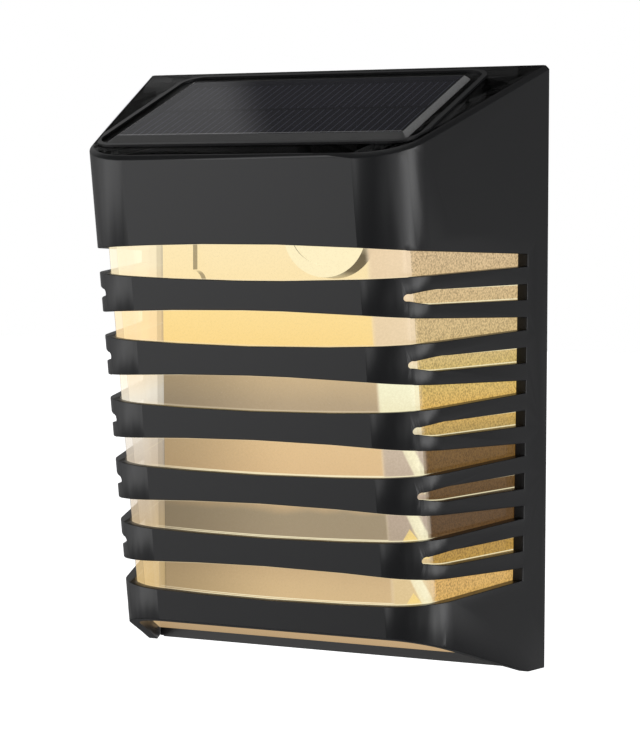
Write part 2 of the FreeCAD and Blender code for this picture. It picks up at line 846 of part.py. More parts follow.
# ------------------------------------------------------------ light chamber

def make_light_cover():
    """Clear cover: one moulding with a front, two sides and a slanted floor."""
    inset = S.wall + S.cover_gap
    back = -(S.plate_thick + S.gasket_thick)
    lowest = S.cover_drop
    floor = S.cover_thick
    outside = common(tapered_form("cover_form", inset), side_slab("cover_side", [
        (back, foot_at(back, lowest)), (FAR, foot_at(FAR, lowest)), (FAR, S.cover_top),
        (back, S.cover_top),
    ]), "cover_outside")
    inside = common(tapered_form("cover_hollow", inset + S.cover_thick),
                    side_slab("cover_hollow_side", [
                        (S.wall, foot_at(S.wall, lowest + floor)), (FAR, foot_at(FAR, lowest + floor)),
                        (FAR, S.cover_top + S.wall), (S.wall, S.cover_top + S.wall),
                    ]), "cover_inside")
    return finished(cut(outside, [inside], "cover"), "light_cover")


def pocket_outline(half, extra=0):
    """Keyhole pocket seen from the front: round below, straight sides, flat top."""
    return round_bottom(half, S.key_height, S.key_height + S.key_travel + S.pocket_half + extra)


def round_bottom(half, middle, top):
    """Outline with a half circle below, drawn as two quarters, and a flat top."""
    return [
        (-half, middle, half),
        (as_size(0), middle - half, half),
        (half, middle),
        (half, top),
        (-half, top),
    ]


def make_back_plate():
    """Back plate with the keyhole pocket, screw holes and the button's well."""
    half = S.body_width / 2 - S.wall - S.plate_gap * 2
    top = S.body_height - S.lid_thick - S.top_fall * S.plate_thick - S.plate_gap
    body = new_body("plate")
    pad(body, draw(from_front(body), rectangle(-half, half, S.plate_gap, top)), S.plate_thick)
    outer = S.pocket_half + S.pocket_wall
    pad(body, draw(from_front(body), pocket_outline(outer, S.pocket_wall)), S.pocket_depth)
    hollow = draw(from_front(body, S.plate_thick), pocket_outline(S.pocket_half))
    pocket(body, hollow, S.pocket_depth - S.plate_thick - S.pocket_wall, reverse=True)
    drill(body, [(0, S.key_height)], S.key_radius, S.plate_thick)
    slot = S.key_slot / 2
    slot_top = S.key_height + S.key_travel - slot
    hanging = draw(from_front(body), [
        (slot, S.key_height), (slot, slot_top, slot), (0, slot_top + slot, slot),
        (-slot, slot_top), (-slot, S.key_height)])
    pocket(body, hanging, S.plate_thick, reverse=True)
    holes = case_screw_places() + liner_screw_places()
    for x, z in holes:
        pocket(body, draw_hexagon(from_front(body), x, z, S.screw_clear), S.plate_thick, reverse=True)
    drill(body, holes, S.head_radius + S.cover_gap, S.head_sink + S.head_thick)
    well = S.button_radius + S.button_gap
    drill(body, [(S.button_side, S.button_height)], well, S.plate_thick)
    lip = S.gasket_thick
    pad(body, draw(from_front(body, S.plate_thick), rectangle(
        -half + S.plate_thick, half - S.plate_thick, S.plate_gap, S.foot_lip)), lip)
    posts = board_screw_places()
    for x, z in posts:
        circle = draw_circle(from_front(body, S.plate_thick), x, z, S.small_head)
        pad(body, circle, S.board_back - S.plate_thick)
    for x, z in posts:
        pilot = draw_hexagon(from_front(body, S.plate_thick), x, z, S.small_screw)
        pocket(body, pilot, S.board_back, reverse=True)
    form = tapered_form("plate_form", S.wall + S.plate_gap)
    return finished(common(form, body, "plate_trimmed"), "back_plate")


def drill(body, places, radius, depth):
    """Round holes from the wall face."""
    for x, z in places:
        pocket(body, draw_circle(from_front(body), x, z, radius), depth, reverse=True)


def case_screw_places():
    """Where the screws from the back plate into the housing go, across and up."""
    return [(side * S.case_screw_side, height) for side in (-1, 1)
            for height in (S.case_screw_low, S.case_screw_high)]


def liner_screw_places():
    """Where the screws from the back plate into the liner go."""
    return [(side * S.liner_screw_side, S.liner_screw_height) for side in (-1, 1)]


def board_screw_places():
    """Two opposite corners of the control board."""
    edge = S.screw_margin
    return [
        (S.board_left + edge, S.board_high - edge),
        (S.board_right - edge, S.board_low + edge),
    ]


def make_plate_gasket():
    """Seal between the back plate and the rear edges of housing and cover."""
    half = S.body_width / 2 - S.wall - S.plate_gap * 2
    width = S.gasket_width
    top = S.body_height - S.lid_thick - S.top_fall * S.plate_thick - S.plate_gap * 4
    body = new_body("gasket")
    pad(body, draw(from_front(body, S.plate_thick), rectangle(
        -half, half, S.foot_lip + S.plate_gap, top)), S.gasket_thick)
    opening = draw(from_front(body, S.plate_thick), rectangle(
        width - half, half - width, S.foot_lip + S.plate_gap + width, top - width))
    pocket(body, opening, S.gasket_thick, reverse=True)
    form = tapered_form("gasket_form", S.wall + S.plate_gap)
    return finished(common(form, body, "gasket_trimmed"), "plate_gasket")


def make_reflector_liner():
    """Pale textured liner: the lit wall behind the cover, with a cup over the pocket."""
    start = S.plate_thick + S.gasket_thick
    inset = S.wall + S.cover_gap + S.cover_thick + S.liner_gap
    low = foot_at(-start - S.liner_thick, S.cover_drop + S.cover_thick + S.liner_gap)
    top = S.cover_top - S.liner_gap
    slab = side_slab("liner_side", [
        (-start, low), (-start - S.liner_thick, low), (-start - S.liner_thick, top), (-start, top)])
    sheet = common(tapered_form("liner_form", inset), slab, "liner_sheet")
    cup, hollows = liner_cup(start, top)
    parts = [sheet, cup]
    for x, z in liner_screw_places():
        boss = new_body("liner_boss")
        pad(boss, draw_circle(from_front(boss, S.plate_thick), x, z, S.boss_radius),
            S.liner_boss_rise + S.gasket_thick)
        rib = draw(from_front(boss, start), rectangle(
            x - S.liner_rib / 2, x + S.liner_rib / 2, z, top))
        pad(boss, rib, S.liner_boss_rise)
        parts.append(boss)
        pilot = new_body("liner_pilot")
        pad(pilot, draw_hexagon(from_front(pilot), x, z, S.pilot_radius),
            start + S.liner_boss_rise - S.liner_thick)
        hollows.append(pilot)
    return finished(cut(fuse(parts, "liner_all"), hollows, "liner"), "reflector_liner")


def liner_cup(start, top):
    """Cup over the keyhole pocket, with a shallow dish in its front, and what hollows it out."""
    inner = S.pocket_half + S.pocket_wall + S.plate_gap
    outer = inner + S.cup_wall
    front = S.pocket_depth + S.plate_gap + S.cup_wall
    cup = new_body("cup")
    base = draw(from_front(cup, start), round_bottom(outer + S.cup_draft, S.key_height, top))
    tip = draw(from_front(cup, front), round_bottom(outer, S.key_height, top))
    loft = cup.newObject("PartDesign::AdditiveLoft", "loft")
    loft.Profile = base
    loft.Sections = [tip]
    loft.Ruled = True
    doc.recompute()
    above = top + S.cup_wall
    hollow = new_body("cup_hollow")
    pad(hollow, draw(from_front(hollow), round_bottom(inner, S.key_height, above)),
        front - S.cup_wall)
    dish = new_body("cup_dish")
    foot = S.key_height + S.dish_raise
    pad(dish, draw(from_front(dish, front - S.cup_wall / 2), round_bottom(S.dish_half, foot, above)),
        S.cup_wall)
    return cup, [hollow, dish]


# ------------------------------------------------------------------ fixings

def screw(body, x, z, head, head_thick, shank, length, face):
    """A screw driven away from the wall, with its head's face at a distance from it."""
    pad(body, draw_circle(from_front(body, face), x, z, head), head_thick)
    pad(body, draw_hexagon(from_front(body, face + head_thick), x, z, shank), length)
    narrow, long = head * CROSS_HALF, head * CROSS_REACH
    for half_x, half_z in ((narrow, long), (long, narrow)):
        recess = draw(from_front(body, face), rectangle(
            x - half_x, x + half_x, z - half_z, z + half_z))
        pocket(body, recess, head_thick / 2, reverse=True)
    return body


def group(bodies, label):
    """One sub-part of several separate solids of the same kind."""
    compound = doc.addObject("Part::Compound", label + "_group")
    compound.Links = bodies
    return finished(compound, label)


def make_screws():
    """The back plate's screws: four into the housing and two into the liner."""
    case = [screw(new_body("case_screw"), x, z, S.head_radius, S.head_thick, S.shank_radius,
                  S.screw_length, S.head_sink) for x, z in case_screw_places()]
    group(case, "case_screws")
    liner = [screw(new_body("liner_screw"), x, z, S.head_radius, S.head_thick, S.shank_radius,
                   S.liner_screw_length, S.head_sink) for x, z in liner_screw_places()]
    group(liner, "liner_screws")


# ------------------------------------------------- tray, lamps and boards

def block(label, x0, x1, y0, y1, low, rise):
    """A plain block standing on the level z = low."""
    body = new_body(label)
    pad(body, draw(from_above(body, low), rectangle(x0, x1, y0, y1)), rise)
    return body


def led_screw_places():
    """Where the screws of the lamp board go, across and away from the wall."""
    return [(side * S.led_pitch, -S.led_board_back - S.screw_margin) for side in (-1, 1)]


def cell_height():
    """Height of the cell's axis."""
    return S.cover_top + S.tray_thick + S.cradle_thick + S.cell_radius


def cell_end(side):
    """Where the cell ends, across the light."""
    return S.cell_middle + side * S.cell_length / 2


def make_tray():
    """Tray on the clear cover, with a cradle and two end walls for the cell."""
    low = S.cover_top
    top = low + S.tray_thick
    start = S.plate_thick + S.gasket_thick
    slab = side_slab("tray_side", [
        (-start, low), (FAR, low), (FAR, top), (-start, top)])
    plate = common(tapered_form("tray_form", S.wall + S.cover_gap), slab, "tray_plate")
    axis = -S.cell_depth
    parts = [plate]
    for side in (-1, 1):
        x = S.cell_middle + side * S.cell_length / 3
        parts.append(block("saddle", x - S.cradle_thick, x + S.cradle_thick, axis - S.cradle_half,
                           axis + S.cradle_half, top, S.cradle_thick + S.cradle_rise))
        near = cell_end(side) + side * (S.contact_thick + S.cover_gap)
        if side < 0:
            near = near - S.spring_length
        far = near + side * S.cradle_thick
        x0, x1 = (far, near) if side < 0 else (near, far)
        parts.append(block("end_wall", x0, x1, axis - S.end_wall_half, axis + S.end_wall_half, top,
                           S.end_wall_rise))
    for x, y in led_screw_places():
        boss = new_body("tray_boss")
        pad(boss, draw_circle(from_above(boss, top), x, y, S.small_head), S.tray_thick)
        parts.append(boss)
    notch = S.pocket_half + S.pocket_wall + S.plate_gap
    tools = [
        block("notch", -notch, notch, -S.pocket_depth - S.plate_gap, 0, low, S.tray_thick),
        block("wire_hole", S.led_lead_side - S.wire_radius * 2,
              S.led_lead_side + S.wire_apart + S.wire_radius * 2,
              -S.led_lead_depth - S.wire_radius * 2, -S.led_lead_depth + S.wire_radius * 2, low,
              S.tray_thick),
        cell_form("cell_room", S.cover_gap),
    ]
    for x, y in led_screw_places():
        pilot = new_body("tray_pilot")
        pad(pilot, draw_hexagon(from_above(pilot, low), x, y, S.small_screw), S.led_pilot)
        tools.append(pilot)
    return finished(cut(fuse(parts, "tray_all"), tools, "tray"), "component_tray")


def cell_form(label, extra):
    """Cylinder of the rechargeable cell, or of the room around it."""
    body = new_body(label)
    sketch = from_side(body, cell_end(-1) - extra)
    draw_circle(sketch, -S.cell_depth, cell_height(), S.cell_radius + extra)
    pad(body, sketch, S.cell_length + 2 * as_size(extra))
    return body


def make_lamps():
    """Lamp board under the tray with three lamps, each a body with a round lens."""
    top = S.cover_top
    low = top - S.board_thick
    board = block("led_board", -S.led_board_half, S.led_board_half, -S.led_board_front,
                  -S.led_board_back, low, S.board_thick)
    for x, y in led_screw_places():
        hole = draw_hexagon(from_above(board, low), x, y, S.small_screw + S.screw_play)
        pocket(board, hole, S.board_thick, reverse=True)
    finished(board, "led_board")
    lamps = []
    half = S.led_size / 2
    middle = -(S.led_board_back + S.led_board_front) / 2
    for place in (-1, 0, 1):
        x = place * S.led_pitch
        lamp = block("lamp", x - half, x + half, middle - half, middle + half, low - S.led_thick,
                     S.led_thick)
        lens = draw_circle(from_above(lamp, low - S.led_thick), x, middle, S.lens_radius)
        pad(lamp, lens, S.led_thick / 2, toward_wall=True)
        lamps.append(lamp)
    group(lamps, "leds")
    screws = []
    for x, y in led_screw_places():
        body = new_body("led_screw")
        pad(body, draw_hexagon(from_above(body, low), x, y, S.small_head), S.head_thick,
            toward_wall=True)
        shank = draw_hexagon(from_above(body, low), x, y, S.small_screw - S.thread_play)
        pad(body, shank, S.board_thick + S.tray_thick)
        screws.append(body)
    group(screws, "led_board_screws")


def make_control_board():
    """Upright control board on two posts of the back plate, with its parts and screws."""
    back = S.board_back
    front = back + S.board_thick
    board = new_body("board")
    pad(board, draw(from_front(board, back), rectangle(
        S.board_left, S.board_right, S.board_low, S.board_high)), S.board_thick)
    for x, z in board_screw_places():
        hole = draw_hexagon(from_front(board, back), x, z, S.small_screw + S.screw_play)
        pocket(board, hole, S.board_thick, reverse=True)
    finished(board, "control_board")
    chips = []
    for across, up, share in CHIPS:
        x = S.board_left + (S.board_right - S.board_left) * across
        z = S.board_low + (S.board_high - S.board_low) * up
        half = S.chip_half * share
        chip = new_body("chip")
        pad(chip, draw(from_front(chip, front), rectangle(x - half, x + half, z - half, z + half)),
            S.chip_thick * share)
        chips.append(chip)
    group(chips, "control_chips")
    screws = []
    for x, z in board_screw_places():
        body = new_body("board_screw")
        pad(body, draw_hexagon(from_front(body, front), x, z, S.small_head), S.head_thick)
        shank = draw_hexagon(from_front(body, front), x, z, S.small_screw - S.thread_play)
        pad(body, shank, S.small_length, toward_wall=True)
        screws.append(body)
    group(screws, "control_board_screws")


def make_button():
    """Push button in the back plate: cap with a collar, plunger, switch and seal."""
    x, z = S.button_side, S.button_height
    face = S.button_recess
    collar = S.plate_thick + S.button_gap
    cap = new_body("cap")
    pad(cap, draw_circle(from_front(cap, face), x, z, S.button_radius), collar - face)
    pad(cap, draw_circle(from_front(cap, collar), x, z, S.button_radius + S.button_collar),
        S.button_collar)
    finished(cap, "mode_button")
    switch = S.board_back - S.switch_depth
    half = S.switch_side / 2
    body = new_body("switch")
    pad(body, draw(from_front(body, switch), rectangle(x - half, x + half, z - half, z + half)),
        S.switch_depth)
    bore = draw_circle(from_front(body, switch), x, z, S.plunger_radius + S.button_gap)
    pocket(body, bore, S.switch_depth / 2, reverse=True)
    finished(body, "switch_body")
    plunger = new_body("plunger")
    start = collar + S.button_collar
    pad(plunger, draw_circle(from_front(plunger, start), x, z, S.plunger_radius),
        switch + S.switch_depth / 2 - start - S.button_travel - S.button_gap)
    finished(plunger, "switch_plunger")
    seal = new_body("seal")
    inner = S.button_radius + S.button_collar + S.button_gap
    pad(seal, draw_circle(from_front(seal, S.plate_thick), x, z, inner + S.button_collar),
        S.button_seal_thick)
    pocket(seal, draw_circle(from_front(seal, S.plate_thick), x, z, inner), S.button_seal_thick,
           reverse=True)
    finished(seal, "button_seal")


# ----------------------------------------------------------- cell and wires

def contact_plate(side, near):
    """Contact at one end of the cell with a solder tab towards the wall."""
    body = new_body("contact")
    x0 = near if side > 0 else near - S.contact_thick
    axis = -S.cell_depth
    sketch = draw(from_above(body, cell_height() - S.contact_half), rectangle(
        x0, x0 + S.contact_thick, axis - S.contact_half, axis + S.contact_tab))
    pad(body, sketch, S.contact_half * 2)
    return body


def make_cell():
    """Rechargeable cell with a raised end, its contacts, spring and foam pad."""
    cell = cell_form("cell", 0)
    finished(cell, "battery_cell")
    positive = contact_plate(1, cell_end(1))
    negative = contact_plate(-1, cell_end(-1) - S.spring_length)
    group([positive, negative], "battery_contacts")
    spring = new_body("spring")
    x0 = cell_end(-1) - S.spring_length
    x1 = cell_end(-1)
    low = cell_height() - S.spring_half
    high = cell_height() + S.spring_half
    leaf = S.contact_thick
    pad(spring, draw(from_front(spring, S.cell_depth - S.spring_half), [
        (x0, low), (x0 + leaf, low), (x1, cell_height()), (x0 + leaf, high), (x0, high),
        (x1 - leaf * 2, cell_height())]), S.spring_half * 2)
    finished(spring, "battery_spring")
    foam = new_body("foam", place_on_roof)
    slope = angle_of(S.top_fall)
    above = S.body_height - cell_height()
    down = S.cell_depth * cosine(slope) + above * sine(slope)
    room = above * cosine(slope) - S.cell_depth * sine(slope) - S.lid_thick - S.cell_radius
    pad(foam, draw(from_above(foam, -S.lid_thick), rectangle(
        S.cell_middle - S.pad_half, S.cell_middle + S.pad_half,
        -down - S.pad_width / 2, -down + S.pad_width / 2)), room - S.cover_gap,
        toward_wall=True)
    finished(foam, "battery_pad")


def wire(spine_sketch, section_sketch, body):
    """A wire that follows the lines and arcs of a sketch."""
    pipe = body.newObject("PartDesign::AdditivePipe", "pipe")
    pipe.Profile = section_sketch
    edges = ["Edge%d" % (number + 1) for number in range(spine_sketch.GeometryCount)]
    pipe.Spine = (spine_sketch, edges)
    doc.recompute()
    return body


def panel_wire(x):
    """From the panel down through the roof and onto the control board."""
    body = new_body("panel_wire")
    down = lead_down()
    cosine = 1 / root(1 + S.top_fall * S.top_fall)
    sink = S.panel_sink - S.adhesive_thick
    y = -(down * cosine) + sink * S.top_fall * cosine
    top = roof_at(y, sink / cosine + S.wire_radius * S.top_fall)
    z = S.board_high - S.small_head
    spine = draw_route(from_side(body, x), [
        (y, top), (y, z, S.wire_bend), (y + S.wire_bend, z - S.wire_bend),
        (-(S.board_back + S.board_thick), z - S.wire_bend)])
    return wire(spine, draw_hexagon(from_above(body, top), x, y, S.wire_radius), body)


def draw_route(sketch, corners):
    """Open route of a wire: like an outline, but not closed."""
    first = sketch.GeometryCount
    points = [(as_size(corner[0]), as_size(corner[1])) for corner in corners]
    for index in range(len(points) - 1):
        start = tuple(p.value for p in points[index])
        end = tuple(p.value for p in points[index + 1])
        arc = len(corners[index]) == 3
        if arc:
            radius = as_size(corners[index][2])
            sketch.addGeometry(arc_between(start, end, radius.value), False)
        else:
            line = Part.LineSegment(FreeCAD.Vector(*start, 0), FreeCAD.Vector(*end, 0))
            sketch.addGeometry(line, False)
        edge = first + index
        begin, finish = (2, 1) if arc and radius.value < 0 else (1, 2)
        for kind, size in zip(("DistanceX", "DistanceY"), points[index]):
            number = sketch.addConstraint(Sketcher.Constraint(kind, -1, 1, edge, begin, size.value))
            bind(sketch, "Constraints[%d]" % number, size)
        for kind, size in zip(("DistanceX", "DistanceY"), points[index + 1]):
            number = sketch.addConstraint(Sketcher.Constraint(kind, -1, 1, edge, finish, size.value))
            bind(sketch, "Constraints[%d]" % number, size)
        if arc:
            number = sketch.addConstraint(Sketcher.Constraint("Radius", edge, abs(radius.value)))
            bind(sketch, "Constraints[%d]" % number, radius if radius.value > 0 else -radius)
    return sketch


def led_wire(x):
    """From the lamp board up through the tray and onto the control board."""
    body = new_body("led_wire")
    y = -S.led_lead_depth
    z = S.board_low
    spine = draw_route(from_side(body, x), [
        (y, S.cover_top), (y, z, -S.wire_bend), (y + S.wire_bend, z + S.wire_bend),
        (-(S.board_back + S.board_thick), z + S.wire_bend)])
    return wire(spine, draw_hexagon(from_above(body, S.cover_top), x, y, S.wire_radius), body)


def positive_wire():
    """From the contact beside the control board, straight to the board with one drop."""
    body = new_body("positive_wire")
    x = cell_end(1) + S.contact_thick / 2
    y = S.contact_tab - S.cell_depth
    z = cell_height() + S.wire_bend / 2
    turn = y + S.wire_bend * 1.5
    spine = draw_route(from_side(body, x), [
        (y, z), (turn, z, -S.wire_bend), (turn + S.wire_bend, z - S.wire_bend, S.wire_bend),
        (turn + 2 * S.wire_bend, z - 2 * S.wire_bend),
        (-(S.board_back + S.board_thick), z - 2 * S.wire_bend)])
    return wire(spine, draw_hexagon(from_front(body, -y), x, z, S.wire_radius), body)


def negative_wire():
    """From the spring's contact along the cell and onto the control board."""
    body = new_body("negative_wire")
    x = cell_end(-1) - S.spring_length - S.contact_thick / 2
    y = S.contact_tab - S.cell_depth
    z = S.board_low + S.wire_radius * 2
    lane = -S.led_lead_depth + S.wire_radius * 4
    end = S.led_lead_side + S.wire_apart * 2
    bend = S.wire_bend
    spine = draw_route(from_above(body, z), [
        (x, y), (x, lane - bend, -bend), (x + bend, lane), (end, lane, bend),
        (end + bend, lane + bend), (end + bend, -(S.board_back + S.board_thick))])
    return wire(spine, draw_hexagon(from_front(body, -y), x, z, S.wire_radius), body)


def make_wires():
    """Three pairs of wires: panel, lamps and cell, each to the control board."""
    half = S.wire_apart / 2
    group([panel_wire(lead_x() - half / 2), panel_wire(lead_x() + half / 2)], "panel_leads")
    group([led_wire(S.led_lead_side), led_wire(S.led_lead_side + S.wire_apart)], "led_leads")
    group([positive_wire(), negative_wire()], "battery_leads")


make_front_shell()
make_top_cover()
make_panel()
make_light_cover()
make_back_plate()
make_plate_gasket()
make_reflector_liner()
make_screws()
make_tray()
make_lamps()
make_control_board()
make_button()
make_cell()
make_wires()
doc.recompute()

broken = [thing.Name for thing in doc.Objects if "Invalid" in thing.State or "Error" in thing.State]
if broken:
    raise RuntimeError("not built: %s" % ", ".join(broken))
for thing in sub_parts:
    if thing.Shape.isNull() or not thing.Shape.isValid():
        raise RuntimeError("no valid solid in " + thing.Label)

os.makedirs("parts", exist_ok=True)
for thing in sub_parts:
    print(thing.Label, len(thing.Shape.Solids), round(thing.Shape.Volume, 1))
    thing.Shape.exportStep("parts/%s.step" % thing.Label)
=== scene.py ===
# %% [markdown]
# # A solar fence light
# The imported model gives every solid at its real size.  This lesson lights it, gives each piece a
# surface of its own, and adds the fine lines on the solar cells.  Lengths are written in millimetres
# and multiplied by MM, because Blender works in metres.

# %% Load the frame
import math
import bpy
from mathutils import Matrix, Vector


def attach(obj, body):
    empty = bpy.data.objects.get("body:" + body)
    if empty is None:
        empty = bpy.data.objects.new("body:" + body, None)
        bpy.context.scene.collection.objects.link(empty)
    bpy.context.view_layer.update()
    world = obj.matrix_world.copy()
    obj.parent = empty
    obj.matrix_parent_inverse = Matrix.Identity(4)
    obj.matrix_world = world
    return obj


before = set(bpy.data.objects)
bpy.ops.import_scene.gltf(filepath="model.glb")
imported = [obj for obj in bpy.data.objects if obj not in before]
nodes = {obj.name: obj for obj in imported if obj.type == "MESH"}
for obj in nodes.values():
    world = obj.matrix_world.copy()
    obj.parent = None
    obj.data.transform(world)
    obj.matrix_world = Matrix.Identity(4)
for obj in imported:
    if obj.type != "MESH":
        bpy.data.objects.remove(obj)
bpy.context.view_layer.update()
MM = 0.001

# %% [markdown]
# ## The camera
# It stands where the photograph was taken from: 482 mm away, 23 degrees to the right and 4 degrees
# above.  A long lens keeps the upright edges nearly parallel.

# %% Camera
eye = Vector((185.37, -443.44, 33.94)) * MM
backward = Vector((0.39378, -0.91641, 0.07167)).normalized()
roll = math.radians(0.05)

camera_data = bpy.data.cameras.new("camera")
camera_data.sensor_width = 36.0
camera_data.lens = 106.0
camera_data.clip_start = 0.01
camera = bpy.data.objects.new("camera", camera_data)
right = Vector((0, 0, 1)).cross(backward).normalized()
up = backward.cross(right)
turn = Matrix((right, up, backward)).transposed() @ Matrix.Rotation(roll, 3, "Z")
camera.matrix_world = Matrix.Translation(eye) @ turn.to_4x4()
bpy.context.scene.collection.objects.link(camera)
bpy.context.scene.camera = camera
bpy.context.scene.view_settings.view_transform = "Standard"
print("camera at", [round(v, 3) for v in camera.location])

# %% [markdown]
# ## Writing shaders as sums
# A node tree is easier to read as arithmetic.  `Number` wraps one output of a node, and adding or
# multiplying two of them makes the Math node in between.

# %% Numbers
class Number:
    """One output of a shader node that takes part in ordinary arithmetic."""

    def __init__(self, tree, socket):
        self.tree = tree
        self.socket = socket

    def math(self, operation, *values):
        node = self.tree.nodes.new("ShaderNodeMath")
        node.operation = operation
        for place, value in zip(node.inputs, values):
            connect(self.tree, place, value)
        return Number(self.tree, node.outputs[0])

    def __add__(self, other):
        return self.math("ADD", self, other)

    def __radd__(self, other):
        return self.math("ADD", other, self)

    def __sub__(self, other):
        return self.math("SUBTRACT", self, other)

    def __rsub__(self, other):
        return self.math("SUBTRACT", other, self)

    def __mul__(self, other):
        return self.math("MULTIPLY", self, other)

    def __rmul__(self, other):
        return self.math("MULTIPLY", other, self)

    def __truediv__(self, other):
        return self.math("DIVIDE", self, other)

    def __rtruediv__(self, other):
        return self.math("DIVIDE", other, self)

    def __neg__(self):
        return self.math("MULTIPLY", self, -1.0)

    def __abs__(self):
        return self.math("ABSOLUTE", self)

    def __lt__(self, other):
        return self.math("LESS_THAN", self, other)

    def fraction(self):
        return self.math("FRACT", self)

    def nearest(self):
        return self.math("ROUND", self)

    def root(self):
        return self.math("SQRT", self)

    def most(self, other):
        return self.math("MAXIMUM", self, other)

    def least(self, other):
        return self.math("MINIMUM", self, other)

    def clamp(self):
        return self.most(0.0).least(1.0)

    def step(self, low, high):
        """0 below low, 1 above high, smooth in between."""
        node = self.tree.nodes.new("ShaderNodeMapRange")
        node.interpolation_type = "SMOOTHSTEP"
        for place, value in zip(node.inputs, (self, low, high, 0.0, 1.0)):
            connect(self.tree, place, value)
        return Number(self.tree, node.outputs[0])

    def between(self, low, high, soft):
        """1 between two values, falling to 0 outside over `soft`."""
        return self.step(low - soft, low + soft) * (1 - self.step(high - soft, high + soft))


def connect(tree, place, value):
    """Links a node's output to an input, or sets the input to a plain value."""
    if isinstance(value, Number):
        value = value.socket
    if isinstance(value, bpy.types.NodeSocket):
        tree.links.new(value, place)
    else:
        place.default_value = value


# %% [markdown]
# ## Colours as a camera sees them
# Colours are noted as red, green and blue from 0 to 255, as they look on a screen.  Blender counts
# light, so each one is turned into amounts of light first.

# %% Colours
def light(red, green, blue):
    """Screen colour to amounts of light."""
    def channel(value):
        value = value / 255
        return value / 12.92 if value <= 0.04045 else ((value + 0.055) / 1.055) ** 2.4
    return (channel(red), channel(green), channel(blue), 1.0)


def grey(level):
    return (level, level, level, 1.0)


# %% [markdown]
# ## A drawing board for node trees
# `Tree` makes any node with one method, and `Recipe` is a tree that belongs to a material.

# %% Trees and recipes
class Tree:
    """A shader node tree under construction."""

    def __init__(self, tree):
        self.tree = tree

    def node(self, kind, settings=(), **values):
        node = self.tree.nodes.new(kind)
        for name, value in dict(settings).items():
            setattr(node, name, value)
        for name, value in values.items():
            connect(self.tree, node.inputs[name.replace("_", " ")], value)
        return node

    def number(self, socket):
        return Number(self.tree, socket)

    def split(self, vector):
        node = self.node("ShaderNodeSeparateXYZ", Vector=vector)
        return tuple(self.number(node.outputs[k]) for k in range(3))

    def mix(self, share, first, second):
        """A colour between two colours."""
        node = self.node("ShaderNodeMix", {"data_type": "RGBA"})
        for place, value in zip((node.inputs[0], node.inputs[6], node.inputs[7]),
                                (share, first, second)):
            connect(self.tree, place, value)
        return node.outputs[2]

    def ramp(self, number, low, high, stops):
        """Colour that follows a number from low to high through (value, colour) stops."""
        node = self.node("ShaderNodeValToRGB", Fac=((number - low) / (high - low)).clamp())
        band = node.color_ramp
        while len(band.elements) < len(stops):
            band.elements.new(0.5)
        for index, (value, colour) in enumerate(sorted(stops)):
            band.elements[index].position = (value - low) / (high - low)
            band.elements[index].color = colour
        return node.outputs["Color"]


class Recipe(Tree):
    """A material under construction; x, y and z are the place on the object in millimetres."""

    def __init__(self, name, **settings):
        self.material = bpy.data.materials.new(name)
        self.material.use_nodes = True
        super().__init__(self.material.node_tree)
        self.shader = self.tree.nodes["Principled BSDF"]
        self.set(**settings)
        self.place = self.node("ShaderNodeTexCoord").outputs["Object"]
        self.x, self.y, self.z = (part / MM for part in self.split(self.place))

    def set(self, **values):
        for name, value in values.items():
            connect(self.tree, self.shader.inputs[name.replace("_", " ")], value)

    def normal(self):
        return self.split(self.node("ShaderNodeNewGeometry").outputs["Normal"])

    def noise(self, size, detail=2.0, place=None):
        """Noise from 0 to 1 with lumps of about `size` millimetres."""
        node = self.node("ShaderNodeTexNoise", Vector=place or self.place, Scale=1 / (size * MM),
                         Detail=detail)
        return self.number(node.outputs["Fac"])

    def bump(self, height, depth):
        """Raises the surface by height times `depth` millimetres."""
        node = self.node("ShaderNodeBump", Height=height, Distance=depth * MM, Strength=1.0)
        self.set(Normal=node.outputs["Normal"])

    def on(self, *names):
        """Puts the material on CAD nodes."""
        for name in names:
            data = nodes[name].data
            data.materials.clear()
            data.materials.append(self.material)
        return self


# %% [markdown]
# ## Black moulded plastic
# The housing is one black moulding with a fine satin skin, as plastic has that was cast against an
# eroded steel mould.  Its grain is smaller than a picture point, so it only widens the reflections.
# The colour changes very little over the surface; almost all that is seen is reflected light.

# %% Housing
def moulded_black(name, level, roughness):
    recipe = Recipe(name)
    cloud = recipe.noise(14.0)
    grain = recipe.noise(0.22, 3.0)
    cool = recipe.mix(cloud, (level * 0.92, level * 0.95, level * 1.04, 1),
                      (level, level * 1.02, level * 1.12, 1))
    recipe.set(Base_Color=cool, Roughness=roughness + (grain - 0.5) * 0.08)
    recipe.bump(grain, 0.006)
    return recipe


moulded_black("housing black", 0.0085, 0.34).on("front_shell", "back_plate")
moulded_black("roof black", 0.010, 0.36).on("top_cover")
print("housing nodes dressed:", 3)

# %% [markdown]
# ## Soft edges
# A moulding never has a knife edge.  The CAD mesh is first welded and its flat faces joined, so that
# the bevel finds clean edges.  It then rounds each sharp edge a little, which catches the thin lines
# of light along the ribs.

# %% Soft edges
def soften(name, width):
    """Rounds the sharp edges of a CAD node by `width` millimetres."""
    piece = nodes[name]
    weld = piece.modifiers.new("weld", "WELD")
    weld.merge_threshold = 0.001 * MM
    planes = piece.modifiers.new("planes", "DECIMATE")
    planes.decimate_type = "DISSOLVE"
    planes.angle_limit = math.radians(1.0)
    edges = piece.modifiers.new("edges", "BEVEL")
    edges.width = width * MM
    edges.segments = 2
    edges.limit_method = "ANGLE"
    edges.angle_limit = math.radians(40.0)
    edges.use_clamp_overlap = False
    edges.harden_normals = True


soften("front_shell", 0.16)
print("softened edges on the housing")
